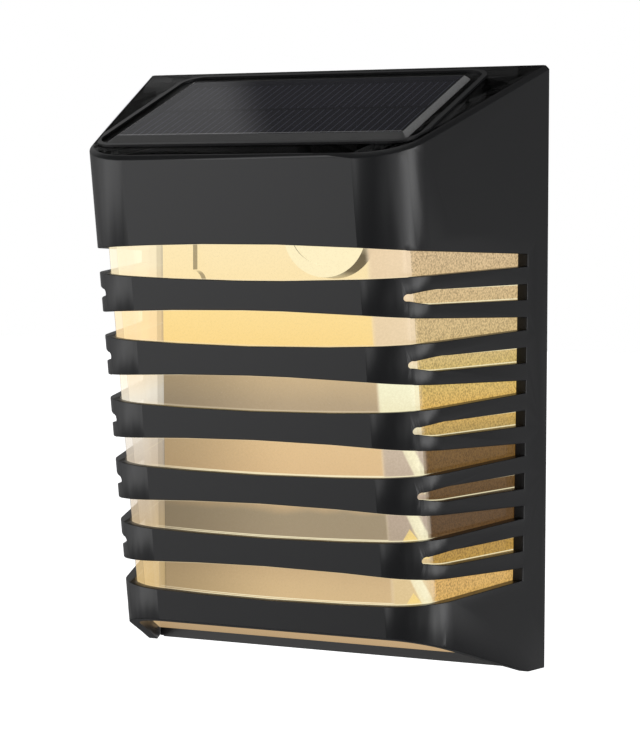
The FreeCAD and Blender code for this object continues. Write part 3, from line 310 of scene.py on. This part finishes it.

# %% [markdown]
# ## The frame of the solar panel
# The frame is the same plastic with a duller skin, and its slanted bars catch the light from above.
# That light is painted on: faces turned to the right get a lighter grey, a painted highlight.
# A second, coarser noise gives the fine speckle that the photograph shows on the right bar.

# %% Panel frame
bezel = Recipe("panel frame")
speckle = bezel.noise(0.35, 4.0)
across, _, _ = bezel.normal()
# painted highlight: faces turned to the right are a lighter grey than the dark lip
painted_highlight_side = across.step(0.3, 0.6)
bar = bezel.mix(speckle, grey(0.16), grey(0.46))
lip = bezel.mix(bezel.noise(6.0), grey(0.028), grey(0.05))
bezel.set(Base_Color=bezel.mix(painted_highlight_side, lip, bar), Roughness=0.42 + (speckle - 0.5) * 0.15)
bezel.bump(speckle, 0.01)
bezel.on("panel_bezel")
print("panel frame:", bezel.material.name)

# %% [markdown]
# ## Solar cells
# Each cell is a wafer of silicon, nearly black and a little violet, cut into strips that stand a
# little apart on the dark backing.  Broad soft bands of navy come from the coating, which is never
# equally thick.

# %% Cells and what is under them
cells = Recipe("solar cells", Roughness=0.28)
band = cells.noise(7.0, 1.0)
crystal = cells.noise(1.2, 3.0)
tone = cells.mix(band, (0.006, 0.005, 0.022, 1), (0.022, 0.018, 0.075, 1))
tone = cells.mix(crystal * 0.4, tone, (0.02, 0.02, 0.045, 1))
cells.set(Base_Color=tone, Coat_Weight=0.4)
cells.on("solar_cells")

backing = Recipe("panel backing", Roughness=0.55)
weave = backing.noise(0.6, 3.0)
backing.set(Base_Color=backing.mix(weave, (0.006, 0.006, 0.012, 1), (0.014, 0.013, 0.026, 1)))
backing.on("panel_backing", "panel_adhesive")
print("cells and backing dressed")

# %% [markdown]
# ## The fine lines on the cells
# Thin silver lines are printed on the cells and gather the current.  They run down the slope, evenly
# spaced, so Geometry Nodes lay one flat bar again and again along a row of points.  The bars lie on
# the cells, under the glass, and the whole grid is turned into the slope of the roof afterwards.

# %% Sizes of the panel
roof_fall = 0.36
slope = math.atan(roof_fall)
half_height = 65.0
glass_back, glass_front = 9.5, 47.9
panel_sink, adhesive_thick, backing_thick, cell_thick = 1.3, 0.2, 0.8, 0.3
cell_border, cell_row_gap = 1.4, 1.3
cell_top = adhesive_thick + backing_thick + cell_thick - panel_sink
row_length = (glass_front - glass_back - 2 * cell_border - cell_row_gap) / 2
print("cell rows are", round(row_length, 2), "mm long")

# %% [markdown]
# The tree takes the number of lines, their pitch, width, length and thickness as named inputs, so
# the same tree serves both rows.

# %% The tree of the lines
def line_tree(finish):
    tree = bpy.data.node_groups.new("finger lines", "GeometryNodeTree")
    face = tree.interface
    face.new_socket("Geometry", in_out="OUTPUT", socket_type="NodeSocketGeometry")
    sizes = {}
    for name, kind in (("Count", "NodeSocketInt"), ("Pitch", "NodeSocketFloat"),
                       ("Width", "NodeSocketFloat"), ("Length", "NodeSocketFloat"),
                       ("Thickness", "NodeSocketFloat")):
        sizes[name] = face.new_socket(name, in_out="INPUT", socket_type=kind).identifier
    given = tree.nodes.new("NodeGroupInput")
    row = tree.nodes.new("GeometryNodeMeshLine")
    row.mode = "OFFSET"
    tree.links.new(given.outputs["Count"], row.inputs["Count"])
    step = tree.nodes.new("ShaderNodeCombineXYZ")
    tree.links.new(given.outputs["Pitch"], step.inputs["X"])
    tree.links.new(step.outputs[0], row.inputs["Offset"])
    size = tree.nodes.new("ShaderNodeCombineXYZ")
    for axis, name in (("X", "Width"), ("Y", "Length"), ("Z", "Thickness")):
        tree.links.new(given.outputs[name], size.inputs[axis])
    bar = tree.nodes.new("GeometryNodeMeshCube")
    tree.links.new(size.outputs[0], bar.inputs["Size"])
    spread = tree.nodes.new("GeometryNodeInstanceOnPoints")
    tree.links.new(row.outputs["Mesh"], spread.inputs["Points"])
    tree.links.new(bar.outputs["Mesh"], spread.inputs["Instance"])
    real = tree.nodes.new("GeometryNodeRealizeInstances")
    tree.links.new(spread.outputs[0], real.inputs[0])
    paint = tree.nodes.new("GeometryNodeSetMaterial")
    paint.inputs["Material"].default_value = finish
    tree.links.new(real.outputs[0], paint.inputs["Geometry"])
    result = tree.nodes.new("NodeGroupOutput")
    tree.links.new(paint.outputs[0], result.inputs[0])
    return tree, sizes


silver = Recipe("printed silver", Roughness=0.45, Metallic=0.2)
print_grain = silver.noise(0.2, 2.0)
silver.set(Base_Color=silver.mix(print_grain, (0.40, 0.40, 0.55, 1), (0.60, 0.60, 0.78, 1)))
lines, line_inputs = line_tree(silver.material)
print("inputs:", list(line_inputs))

# %% [markdown]
# Each row of lines is made flat at the origin, taken as a plain mesh, and its points are moved to
# their place on the slope.  The object itself never moves.

# %% The two rows of lines
def grown(name, tree, inputs, values):
    """A plain mesh object that a Geometry Nodes tree grew."""
    seed = bpy.data.objects.new(name, bpy.data.meshes.new(name))
    bpy.context.scene.collection.objects.link(seed)
    growth = seed.modifiers.new("growth", "NODES")
    growth.node_group = tree
    for key, value in values.items():
        growth[inputs[key]] = value
    ready = seed.evaluated_get(bpy.context.evaluated_depsgraph_get())
    mesh = bpy.data.meshes.new_from_object(ready)
    seed.modifiers.remove(growth)
    seed.data = mesh
    return seed


def on_slope(point):
    """Moves a point from the flat drawing of the roof to the roof."""
    x, y, z = point
    return (x, y * math.cos(slope) - z * math.sin(slope),
            half_height * MM + y * math.sin(slope) + z * math.cos(slope))


line_pitch, line_count = 1.72, 36
line_width, line_thick, line_inset = 0.16, 0.03, 0.1
first_line = -line_pitch * (line_count - 1) / 2
line_height = cell_top + line_thick / 2
for row in range(2):
    middle = -glass_front + cell_border + row_length / 2 + row * (row_length + cell_row_gap)
    rows = grown("cell_lines_%d" % (row + 1), lines, line_inputs, {
        "Count": line_count, "Pitch": line_pitch * MM, "Width": line_width * MM,
        "Length": (row_length - 2 * line_inset) * MM, "Thickness": line_thick * MM})
    for vertex in rows.data.vertices:
        x, y, z = vertex.co
        vertex.co = on_slope((x + first_line * MM, y + middle * MM, z + line_height * MM))
    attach(rows, "housing")
    print(rows.name, len(rows.data.polygons), "faces")

# %% [markdown]
# ## The glass of the panel
# A thin clear sheet with a smooth face, tinted a little by the film under it.  It lets part of the
# cells show and mirrors the studio, so the shader is half open and very smooth.  Along the front its
# ground edge shows as a thin pale line.

# %% Panel glass
glass = Recipe("panel glass", Roughness=0.05)
down_slope = -glass.y / math.cos(slope)
front_line = down_slope.between(glass_front - 0.5, glass_front - 0.1, 0.1)
haze = glass.noise(20.0)
pane = glass.mix(haze, (0.02, 0.02, 0.03, 1), (0.03, 0.03, 0.045, 1))
glass.set(Base_Color=glass.mix(front_line, pane, grey(0.35)), Alpha=0.6 + front_line * 0.35)
glass.on("panel_glass")
print("panel glass dressed")

# %% [markdown]
# ## The liner behind the light
# The pale liner closes the light room at the back.  In the real light it is evenly pale, but the
# lamps and the cover throw it into bands: cream under the lamps, then yellow, and taupe and tan by
# turns further down.  It glows by its own light here, because small lamps in a clear box would take
# very long to compute.  A fine grain breaks it up as the diffusing skin does.

# %% Liner
liner = Recipe("liner", Roughness=0.6, Base_Color=grey(0.03))
sand = liner.noise(0.45, 4.0)
drift = liner.noise(9.0, 2.0)
bands = liner.ramp(liner.z + (drift - 0.5) * 3.0, -64.0, 34.0, (
    (-62.0, light(212, 182, 134)), (-50.0, light(204, 174, 130)), (-46.5, light(196, 166, 124)),
    (-44.5, light(150, 132, 108)), (-34.0, light(150, 134, 108)), (-30.5, light(214, 178, 130)),
    (-18.0, light(222, 188, 138)), (-15.0, light(166, 146, 118)), (-9.0, light(176, 154, 122)),
    (-1.0, light(206, 178, 134)), (2.0, light(248, 212, 132)), (13.0, light(251, 220, 146)),
    (17.0, light(250, 226, 170)), (33.0, light(252, 232, 184))))
side_x, _, side_z = liner.normal()
lower = 1 - liner.z.step(-2.0, 3.0)
# painted shade: below the lamps the liner darkens towards the left
painted_shade_left = 1 - 0.5 * lower * (1 - liner.x.step(-44.0, -8.0))
# painted shade: faces turned sideways or downwards are darkened
painted_shade_walls = 1 - 0.7 * abs(side_x).step(0.2, 0.8) - 0.6 * (-side_z).step(0.2, 0.8)
# painted light: the raised front of the cup is lightened towards cream
painted_light_cup = (-liner.y).step(6.5, 8.5)
bands = liner.mix(painted_light_cup * 0.6, bands, light(255, 246, 206))
# painted light: bright yellow strips at the bottom and at about -43 mm, between x -34 and 23 mm
painted_light_span = liner.x.between(-34.0, 23.0, 3.0)
strips = (1 - liner.z.step(-55.4, -54.8)) + liner.z.between(-45.0, -41.4, 0.3) * 0.8
bands = liner.mix(strips * painted_light_span, bands, light(255, 230, 140))
# painted shade: the lower part right of x = 21 mm turns dark olive
painted_shade_right = liner.x.step(20.0, 21.5) * lower * 0.42
bands = liner.mix(painted_shade_right, bands, light(120, 96, 48))
shade = liner.mix((painted_shade_left * painted_shade_walls * (0.86 + 0.26 * sand)).clamp(), (0.05, 0.035, 0.015, 1), bands)
liner.set(Emission_Color=shade, Emission_Strength=1.0)
liner.bump(sand, 0.02)
liner.on("reflector_liner")
print("liner bands from -62 to 33 mm")

# %% [markdown]
# ## Where the openings are
# The glow on the clear cover follows the openings of the grille.  Their outlines are the same sums
# that cut them in the housing: a shallow curve on the front, a straight taper on the sides and a
# round nose on the slots between.

# %% Outlines of the openings
gap_lowest, gap_pitch = -43.48, 13.414
gap_half, gap_fall, gap_reach = 3.70, 1.02, 33.9
gap_end_half, gap_side_rise, slot_end = 1.32, 1.26, 8
slot_half, slot_nose, slot_setback = 1.55, 9.5, 2.9
depth_low, depth_gain, corner_depth = 36.3, 23.1, 14
eye_height, parallax = 34, 0.0052


def from_row(recipe, shift):
    """Height above the middle of the nearest row of openings."""
    row = (recipe.z - gap_lowest) / gap_pitch + shift
    return (row - row.nearest()) * gap_pitch


def housing_depth(recipe):
    """Wall to the front face of the housing at a point's height."""
    return depth_low + (recipe.z + half_height) * depth_gain / (2 * half_height)


def to_edges(recipe, local, half):
    """Height above the lower edge of an opening and below the upper edge that still shows."""
    return local + half, half - local - (eye_height - recipe.z) * parallax


def gap_distance(recipe):
    """Distance to the edges of the nearest lens-shaped gap."""
    share = recipe.x / gap_reach
    side = gap_end_half + (-recipe.y - slot_end) * gap_side_rise / (housing_depth(recipe) - corner_depth)
    half = (gap_half - gap_fall * share * share).most(side)
    return to_edges(recipe, from_row(recipe, 0.0), half)


def slot_distance(recipe):
    """The same for the round-nosed slots between the gaps."""
    run = (housing_depth(recipe) - slot_setback + recipe.y).most(0.0).least(slot_nose)
    share = (slot_nose - run) / slot_nose
    half = slot_half * (1 - share * share).most(0.0).root()
    return to_edges(recipe, from_row(recipe, 0.5), half)


print("gaps", gap_pitch, "mm apart")

# %% [markdown]
# ## The clear cover
# One clear moulding stands behind the grille.  Its front is see-through.  It glows by painted light
# of its own: its sides carry a fine grain in golden painted light, and its round corners gather the
# light into pale painted streaks.  Where it meets the ribs, the light leaves it as a thin painted
# bright line.

# %% Clear cover: rows of colour
cover = Recipe("clear cover", Roughness=0.1, Specular_IOR_Level=0.25)
fine = cover.noise(0.42, 5.0)
face_x, _, face_z = cover.normal()
on_right = cover.x.step(8.0, 12.0)
right_side = face_x.step(0.80, 0.86) * on_right
left_side = abs(face_x).step(0.80, 0.86) * (1 - on_right)
right_corner = face_x.step(0.06, 0.16) * on_right * (1 - right_side)
left_corner = abs(face_x).step(0.06, 0.2) * (1 - on_right) * (1 - left_side)
floor_part = abs(face_z).step(0.7, 0.9)
grain_share = (0.62 + (fine - 0.5) * 4.0).clamp()
# painted light: the sides glow in rows that change with height, golden in some and dim brown in others
painted_side_glow = cover.ramp(cover.z, -52.0, 30.0, (
    (-48.0, light(226, 182, 104)), (-40.5, light(222, 177, 103)), (-38.5, light(192, 152, 74)),
    (-35.0, light(184, 144, 70)), (-33.0, light(98, 70, 38)), (-27.0, light(92, 66, 36)),
    (-19.5, light(112, 82, 40)), (-13.5, light(120, 88, 42)), (-11.5, light(190, 160, 92)),
    (-6.5, light(230, 186, 100)), (0.5, light(218, 190, 112)), (8.0, light(220, 192, 136)),
    (28.0, light(222, 193, 150))))
deep = cover.mix(0.5, painted_side_glow, (0.03, 0.014, 0.002, 1))
side_tone = cover.mix(grain_share, deep, painted_side_glow)
print("side rows:", 13)

# %% [markdown]
# The painted streaks of light on the round corner lean the same way in each row.  They are drawn as
# a band along a slanting line, with a small painted bright triangle beside it in the lowest rows.

# %% Clear cover: streaks on the corner
streak_place, streak_lean, streak_half = 32.7, 0.35, 1.0
triangle_place, triangle_half, triangle_height = 31.2, 1.5, 2.6
low, high = gap_distance(cover)
row_middle = (low - high) * 0.5
lean = cover.x - (streak_place - streak_lean * row_middle)
streak = lean.between(-streak_half, streak_half, 0.25) * (1 - cover.z.step(-12.0, -8.0))
peak = triangle_height * (1 - abs(cover.x - triangle_place) / triangle_half)
triangle = (peak - low).step(0.0, 0.3) * (1 - cover.z.step(-26.0, -22.0))
# painted light: the corner glows in pale rows, with the streak and the triangle brighter still
painted_corner_glow = cover.ramp(cover.z, -52.0, 30.0, (
    (-46.0, light(226, 200, 150)), (-37.0, light(224, 198, 150)), (-34.0, light(186, 168, 146)),
    (-26.0, light(190, 170, 150)), (-12.0, light(206, 188, 166)), (-9.0, light(244, 236, 196)),
    (1.0, light(253, 251, 216)), (4.0, light(236, 212, 174)), (28.0, light(238, 212, 174))))
corner_tone = cover.mix(streak, painted_corner_glow, light(252, 244, 206))
corner_tone = cover.mix(triangle, corner_tone, light(250, 220, 140))
corner_tone = cover.mix(0.12 * grain_share, corner_tone, deep)
print("streaks lean", streak_lean, "mm for each mm of height")

# %% [markdown]
# Clear plastic carries light along its wall and lets it out where a rib shades it.  So a thin bright
# line follows the edge of each opening, and it is strongest along the lower edges of the lower rows.

# %% Clear cover: lines of light
slot_low, slot_high = slot_distance(cover)
inside_gap = low.least(high)
inside_slot = slot_low.least(slot_high)
gap_line = inside_gap.between(-0.04, 0.15, 0.06)
slot_line = inside_slot.between(-0.05, 0.15, 0.06) * face_x.step(0.3, 0.6) * on_right
low_rows = (1 - cover.z.step(-14.0, -10.0)) * cover.x.step(-32.0, -8.0)
strong = 0.28 + 0.6 * low_rows * low.between(-0.1, 0.25, 0.1)
faces_out = (face_x.step(-0.2, -0.1) + (-face_x).step(0.1, 0.3) * (1 - on_right)).clamp()
rim_light = (gap_line * strong * faces_out + slot_line * 0.8).clamp() * (1 - floor_part)
print("lines of light follow the gaps and the slots")

# %% [markdown]
# The open share of each part is set last.  The front lets nearly everything through, the left side
# about half, the right side and corner little, because the light in them outshines what lies behind.
# A painted dark edge stands where the wall is seen end on, as on every clear box.

# %% Clear cover: how much it lets through
facing = cover.number(cover.node("ShaderNodeLayerWeight", Blend=0.5).outputs["Facing"])
end_on = facing.step(0.86, 0.93)
tone = cover.mix(right_corner, light(240, 222, 190), corner_tone)
tone = cover.mix(right_side, tone, side_tone)
# painted light: the left side and its corner glow in pale rows
painted_left_glow = cover.ramp(cover.z, -52.0, 30.0, (
    (-44.0, light(214, 184, 130)), (-31.0, light(196, 176, 148)), (-18.0, light(206, 194, 178)),
    (-7.0, light(240, 233, 217)), (4.0, light(250, 218, 166)), (14.0, light(250, 220, 170)),
    (22.0, light(248, 233, 197))))
tone = cover.mix(left_side.most(left_corner), tone, painted_left_glow)
# painted light: level faces turned up glow brighter and yellower than those turned down
painted_floor_glow = cover.mix(face_z.step(-0.1, 0.1), light(236, 198, 146), light(255, 226, 140))
tone = cover.mix(floor_part, tone, painted_floor_glow)
tone = cover.mix(rim_light, tone, light(255, 246, 205))
# painted shade: the wall turns near black where it is seen end on
tone = cover.mix(end_on, tone, grey(0.004))
solid = 0.025 + 0.8 * right_corner + 0.95 * right_side
solid = solid + left_side * 0.6 + left_corner * 0.3 + 0.8 * floor_part
solid = solid.most(rim_light).most(end_on * 0.95).clamp()
# painted light: the cover glows by its own light in all these tones
cover.set(Base_Color=grey(0.02), Emission_Color=tone, Emission_Strength=1.0, Alpha=solid)
cover.on("light_cover")
print("clear cover dressed")

# %% [markdown]
# ## Lamps and their board
# The lamps are small white parts under a dome of warm phosphor, and they are on.  The board has a
# white coat, so that it throws the light down.

# %% Lamps
lamps = Recipe("lamp domes", Roughness=0.25)
phosphor = lamps.noise(0.4, 3.0)
warm = lamps.mix(phosphor, light(255, 214, 120), light(255, 236, 180))
lamps.set(Base_Color=warm, Emission_Color=warm, Emission_Strength=2.0)
lamps.on("leds")
print("lamps on")

# %% [markdown]
# ## Small pieces with two tones
# Everything else is a plain piece of one stuff.  `stuff` mixes two near tones with a noise of the
# right size, and the same noise changes the gloss, so that no face is perfectly even.

# %% Plain stuffs
def stuff(name, colour, roughness, grain, metal=0.0, depth=0.01):
    recipe = Recipe(name, Metallic=metal)
    cloud = recipe.noise(grain, 4.0)
    dark = tuple(0.78 * value for value in colour[:3])
    recipe.set(Base_Color=recipe.mix(cloud, (*dark, 1), colour),
               Roughness=roughness + (cloud - 0.5) * 0.12)
    recipe.bump(cloud, depth)
    return recipe


stuff("seal rubber", grey(0.02), 0.75, 0.5).on("plate_gasket", "button_seal")
stuff("button rubber", (0.085, 0.09, 0.095, 1), 0.6, 0.4).on("mode_button")
stuff("tray white", (0.72, 0.70, 0.64, 1), 0.5, 1.0).on("component_tray")
stuff("foam", grey(0.03), 0.95, 0.35, depth=0.15).on("battery_pad")
print("rubber, tray and foam dressed")

# %% [markdown]
# ## Screws
# The screws are zinc-plated steel, and the contacts and their spring are nickel.  Both are a metal
# shader with a small uneven noise in tone and gloss, which at this size looks like plating.

# %% Screws
zinc = stuff("zinc steel", (0.56, 0.56, 0.55, 1), 0.34, 0.3, 1.0, 0.004)
zinc.on("case_screws", "liner_screws", "led_board_screws", "control_board_screws")
nickel = stuff("nickel", (0.66, 0.62, 0.55, 1), 0.28, 0.6, 1.0, 0.004)
nickel.on("battery_contacts", "battery_spring")
print("metal dressed")

# %% [markdown]
# ## Boards and chips
# The control board has a green coat over copper lines, which show as slightly lighter tracks.  A
# pattern of square steps stands for them.  The lamp board is white.

# %% Boards
control = Recipe("board green", Roughness=0.35)
track = (abs((control.x / 1.9).fraction() - 0.5) < 0.12) + (abs((control.z / 2.3).fraction() - 0.5) < 0.1)
patch = control.noise(3.0, 0.0).step(0.45, 0.5)
control.set(Base_Color=control.mix((track * patch).clamp() * 0.6, (0.012, 0.10, 0.03, 1),
                                   (0.04, 0.22, 0.07, 1)))
control.on("control_board")
stuff("board white", (0.85, 0.85, 0.8, 1), 0.4, 2.0).on("led_board")
stuff("chip black", grey(0.012), 0.45, 0.3).on("control_chips", "switch_body", "switch_plunger")
print("boards dressed")

# %% [markdown]
# ## The cell and the wires
# The cell has a shrunk sleeve with a lighter band, and the wires have a soft smooth cover.

# %% Cell and wires
sleeve = Recipe("cell sleeve", Roughness=0.3)
wrinkle = sleeve.noise(4.0, 2.0)
band = (sleeve.x + 4).between(-6.0, 6.0, 0.3)
sleeve.set(Base_Color=sleeve.mix(band, sleeve.mix(wrinkle, (0.02, 0.12, 0.05, 1), (0.03, 0.17, 0.07, 1)),
                                 grey(0.6)))
sleeve.bump(wrinkle, 0.03)
sleeve.on("battery_cell")
wire = stuff("wire cover", (0.34, 0.025, 0.02, 1), 0.4, 0.8)
wire.on("panel_leads", "led_leads", "battery_leads")
print("cell and wires dressed")

# %% [markdown]
# ## The floor
# The light hangs on a wall, so the floor lies well below it.  It is plain white and bright enough to
# go over into the background.  It is kept out of mirror reflections, where the studio takes over.

# %% Floor
reach, level = 3.0, -0.2
floor_mesh = bpy.data.meshes.new("floor")
floor_mesh.from_pydata([(-reach, -reach, level), (reach, -reach, level), (reach, reach, level),
                        (-reach, reach, level)], [], [(0, 1, 2, 3)])
floor = bpy.data.objects.new("floor", floor_mesh)
bpy.context.scene.collection.objects.link(floor)
floor.visible_glossy = False
paper = Recipe("floor white", Roughness=0.9, Emission_Strength=1.0)
fibre = paper.noise(40.0)
paper.set(Base_Color=paper.mix(fibre, grey(0.78), grey(0.8)), Emission_Color=grey(1.0))
floor.data.materials.append(paper.material)
print("floor", -level / MM, "mm below the middle of the light")

# %% [markdown]
# ## The studio
# Black plastic shows the room more than its own colour.  The studio is a soft surround: a large
# bright field at the front left, a dark gap in front, a narrow bright strip at the right and a dim
# rest.  Each field is written as a smooth step of the direction: `turned` is the angle round the
# light, 0 in front and growing to the right, and `raised` is the angle above the horizon.

# %% Studio
world = bpy.data.worlds.new("studio")
bpy.context.scene.world = world
world.use_nodes = True
studio = Tree(world.node_tree)
toward = studio.node("ShaderNodeTexCoord").outputs["Generated"]
to_x, to_y, to_z = studio.split(toward)
turned = to_x.math("ARCTAN2", to_x, -to_y) * (180 / math.pi)
raised = to_z.math("ARCSINE", to_z) * (180 / math.pi)
front_left = turned.between(-78.0, -14.0, 4.0)
far_left = turned.between(-105.0, -26.0, 9.0)
right_field = turned.step(18.0, 48.0) * (1 - turned.step(98.0, 106.0))
strip = turned.between(72.0, 100.0, 5.0)
side_field = turned.step(98.0, 112.0)
side_light = side_field * (0.06 + 0.10 * (-raised).step(0.0, 14.0))
dim = 0.06 + side_light + 0.12 * (1 - turned.step(-120.0, -100.0))
room = dim + 0.82 * front_left + 0.35 * far_left + 0.42 * right_field + 1.95 * strip
low_fade = 0.24 + 1.3 * raised.step(-34.0, -13.0)
above = raised.step(16.0, 26.0)
overhead = 0.08 + 0.32 * turned.between(-149.6, -100.0, 0.8) + 0.5 * raised.step(55.0, 75.0)
room = (room * low_fade) * (1 - above) + overhead * above
print("studio fields:", 5)

# %% [markdown]
# The camera itself sees plain white, as in the photograph, and everything else sees the fields.

# %% Background
background = world.node_tree.nodes["Background"]
connect(world.node_tree, background.inputs["Strength"], room)
background.inputs["Color"].default_value = (1.0, 1.0, 1.0, 1.0)
plain = studio.node("ShaderNodeBackground", Color=(1.0, 1.0, 1.0, 1.0), Strength=1.0)
sees = studio.node("ShaderNodeLightPath")
choice = studio.node("ShaderNodeMixShader")
links = world.node_tree.links
links.new(sees.outputs["Is Camera Ray"], choice.inputs[0])
links.new(background.outputs[0], choice.inputs[1])
links.new(plain.outputs[0], choice.inputs[2])
links.new(choice.outputs[0], world.node_tree.nodes["World Output"].inputs[0])
print("background is white to the camera")
